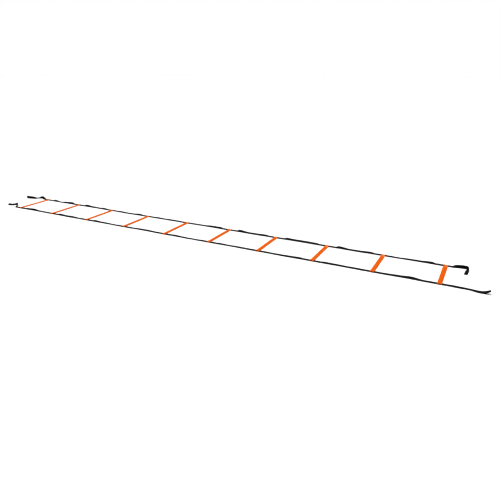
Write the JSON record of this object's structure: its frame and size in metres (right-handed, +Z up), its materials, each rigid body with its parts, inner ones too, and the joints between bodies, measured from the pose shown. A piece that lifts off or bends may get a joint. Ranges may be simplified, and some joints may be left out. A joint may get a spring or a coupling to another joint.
{
  "type": "agility ladder",
  "caption": "Flat training ladder laid on the floor: plastic slats slide along two webbing straps with loose tails, and the ladder folds up in a zigzag.",
  "frame": {"origin": "on the floor, midway between the first and the last rung and midway between the two straps", "axes": "+X along the straps towards the last rung, +Y across the ladder towards the far strap, +Z up from the floor"},
  "size_m": [5.1506, 0.4532, 0.0253],
  "materials": {
    "orange_slat": "satin moulded polypropylene",
    "black_webbing": "flat woven polypropylene webbing"
  },
  "bodies": {
    "section_01": {"near_strap_01": "black_webbing", "far_strap_01": "black_webbing"},
    "slat_01": {"rung_01": "orange_slat"},
    "section_02": {"near_strap_02": "black_webbing", "far_strap_02": "black_webbing"},
    "slat_02": {"rung_02": "orange_slat"},
    "section_03": {"near_strap_03": "black_webbing", "far_strap_03": "black_webbing"},
    "slat_03": {"rung_03": "orange_slat"},
    "section_04": {"near_strap_04": "black_webbing", "far_strap_04": "black_webbing"},
    "slat_04": {"rung_04": "orange_slat"},
    "section_05": {"near_strap_05": "black_webbing", "far_strap_05": "black_webbing"},
    "slat_05": {"rung_05": "orange_slat"},
    "section_06": {"near_strap_06": "black_webbing", "far_strap_06": "black_webbing"},
    "slat_06": {"rung_06": "orange_slat"},
    "section_07": {"near_strap_07": "black_webbing", "far_strap_07": "black_webbing"},
    "slat_07": {"rung_07": "orange_slat"},
    "section_08": {"near_strap_08": "black_webbing", "far_strap_08": "black_webbing"},
    "slat_08": {"rung_08": "orange_slat"},
    "section_09": {"near_strap_09": "black_webbing", "far_strap_09": "black_webbing"},
    "slat_09": {"rung_09": "orange_slat"},
    "section_10": {"near_strap_10": "black_webbing", "far_strap_10": "black_webbing"},
    "slat_10": {"rung_10": "orange_slat"}
  },
  "joints": [
    {"name": "bay_5_fold", "type": "hinge", "parent": "section_05", "child": "section_06", "pos_m": [0, 0, -0.00155], "axis": [0, 1, 0], "range_deg": [0, 177]},
    {"name": "bay_6_fold", "type": "hinge", "parent": "section_06", "child": "section_07", "pos_m": [0.5, 0, 0.01045], "axis": [0, -1, 0], "range_deg": [0, 177]},
    {"name": "bay_7_fold", "type": "hinge", "parent": "section_07", "child": "section_08", "pos_m": [1, 0, -0.00155], "axis": [0, 1, 0], "range_deg": [0, 177]},
    {"name": "bay_8_fold", "type": "hinge", "parent": "section_08", "child": "section_09", "pos_m": [1.5, 0, 0.01045], "axis": [0, -1, 0], "range_deg": [0, 177]},
    {"name": "bay_9_fold", "type": "hinge", "parent": "section_09", "child": "section_10", "pos_m": [2, 0, -0.00155], "axis": [0, 1, 0], "range_deg": [0, 177]},
    {"name": "bay_4_fold", "type": "hinge", "parent": "section_05", "child": "section_04", "pos_m": [-0.5, 0, 0.01045], "axis": [0, 1, 0], "range_deg": [0, 177]},
    {"name": "bay_3_fold", "type": "hinge", "parent": "section_04", "child": "section_03", "pos_m": [-1, 0, -0.00155], "axis": [0, -1, 0], "range_deg": [0, 177]},
    {"name": "bay_2_fold", "type": "hinge", "parent": "section_03", "child": "section_02", "pos_m": [-1.5, 0, 0.01045], "axis": [0, 1, 0], "range_deg": [0, 177]},
    {"name": "bay_1_fold", "type": "hinge", "parent": "section_02", "child": "section_01", "pos_m": [-2, 0, -0.00155], "axis": [0, -1, 0], "range_deg": [0, 177]},
    {"name": "rung_01_slide", "type": "slide", "parent": "section_01", "child": "slat_01", "axis": [1, 0, 0], "range_m": [-0.02, 0.05]},
    {"name": "rung_02_slide", "type": "slide", "parent": "section_02", "child": "slat_02", "axis": [1, 0, 0], "range_m": [-0.05, 0.05]},
    {"name": "rung_03_slide", "type": "slide", "parent": "section_03", "child": "slat_03", "axis": [1, 0, 0], "range_m": [-0.05, 0.05]},
    {"name": "rung_04_slide", "type": "slide", "parent": "section_04", "child": "slat_04", "axis": [1, 0, 0], "range_m": [-0.05, 0.05]},
    {"name": "rung_05_slide", "type": "slide", "parent": "section_05", "child": "slat_05", "axis": [1, 0, 0], "range_m": [-0.05, 0.05]},
    {"name": "rung_06_slide", "type": "slide", "parent": "section_06", "child": "slat_06", "axis": [1, 0, 0], "range_m": [-0.05, 0.05]},
    {"name": "rung_07_slide", "type": "slide", "parent": "section_07", "child": "slat_07", "axis": [1, 0, 0], "range_m": [-0.05, 0.05]},
    {"name": "rung_08_slide", "type": "slide", "parent": "section_08", "child": "slat_08", "axis": [1, 0, 0], "range_m": [-0.05, 0.05]},
    {"name": "rung_09_slide", "type": "slide", "parent": "section_09", "child": "slat_09", "axis": [1, 0, 0], "range_m": [-0.05, 0.05]},
    {"name": "rung_10_slide", "type": "slide", "parent": "section_10", "child": "slat_10", "axis": [1, 0, 0], "range_m": [-0.05, 0.02]}
  ],
  "couplings": [
    {"joint": "bay_1_fold", "follows": "bay_5_fold", "ratio": 1},
    {"joint": "bay_2_fold", "follows": "bay_5_fold", "ratio": 1},
    {"joint": "bay_3_fold", "follows": "bay_5_fold", "ratio": 1},
    {"joint": "bay_4_fold", "follows": "bay_5_fold", "ratio": 1},
    {"joint": "bay_6_fold", "follows": "bay_5_fold", "ratio": 1},
    {"joint": "bay_7_fold", "follows": "bay_5_fold", "ratio": 1},
    {"joint": "bay_8_fold", "follows": "bay_5_fold", "ratio": 1},
    {"joint": "bay_9_fold", "follows": "bay_5_fold", "ratio": 1}
  ]
}
